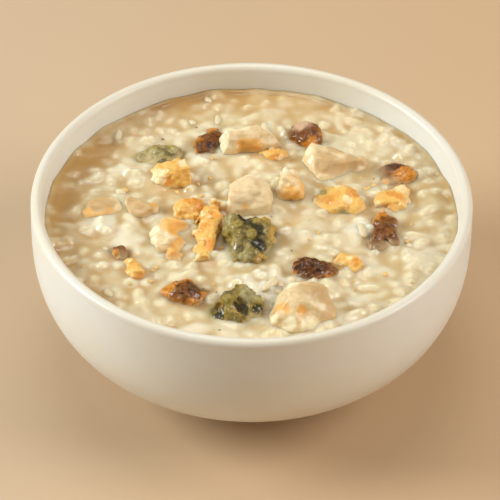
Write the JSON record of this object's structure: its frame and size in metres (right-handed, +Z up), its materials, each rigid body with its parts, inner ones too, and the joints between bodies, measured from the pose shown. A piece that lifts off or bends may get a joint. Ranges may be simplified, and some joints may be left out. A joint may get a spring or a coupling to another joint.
{
  "type": "congee bowl",
  "caption": "Round ceramic bowl on a low foot ring, filled with rice congee under pieces of preserved egg, salted egg and lean meat.",
  "frame": {"origin": "centre of the foot ring, on the plane that the bowl stands on", "axes": "+Z up along the bowl's axis; the side that faces the viewer is -Y, and +X is to the viewer's right"},
  "size_m": [0.1302, 0.1302, 0.0565],
  "materials": {
    "glaze": "warm cream satin glaze",
    "congee": "wet, thick and cloudy, with soft rice grains",
    "jelly": "glossy brown egg white, amber where thin",
    "yolk": "moist grey-green preserved yolk",
    "salted_egg": "moist crumbly yellow-orange egg",
    "meat": "moist pale cooked meat"
  },
  "bodies": {
    "root": {"bowl": "glaze", "congee": "congee", "jelly_1": "jelly", "jelly_2": "jelly", "jelly_3": "jelly", "jelly_4": "jelly", "jelly_5": "jelly", "jelly_6": "jelly", "jelly_7": "jelly", "yolk_1": "yolk", "yolk_2": "yolk", "yolk_3": "yolk", "salted_1": "salted_egg", "salted_2": "salted_egg", "salted_3": "salted_egg", "salted_4": "salted_egg", "salted_5": "salted_egg", "salted_6": "salted_egg", "salted_7": "salted_egg", "salted_8": "salted_egg", "salted_9": "salted_egg", "meat_1": "meat", "meat_2": "meat", "meat_3": "meat", "meat_4": "meat", "meat_5": "meat", "meat_6": "meat", "meat_7": "meat", "meat_8": "meat"}
  },
  "joints": []
}
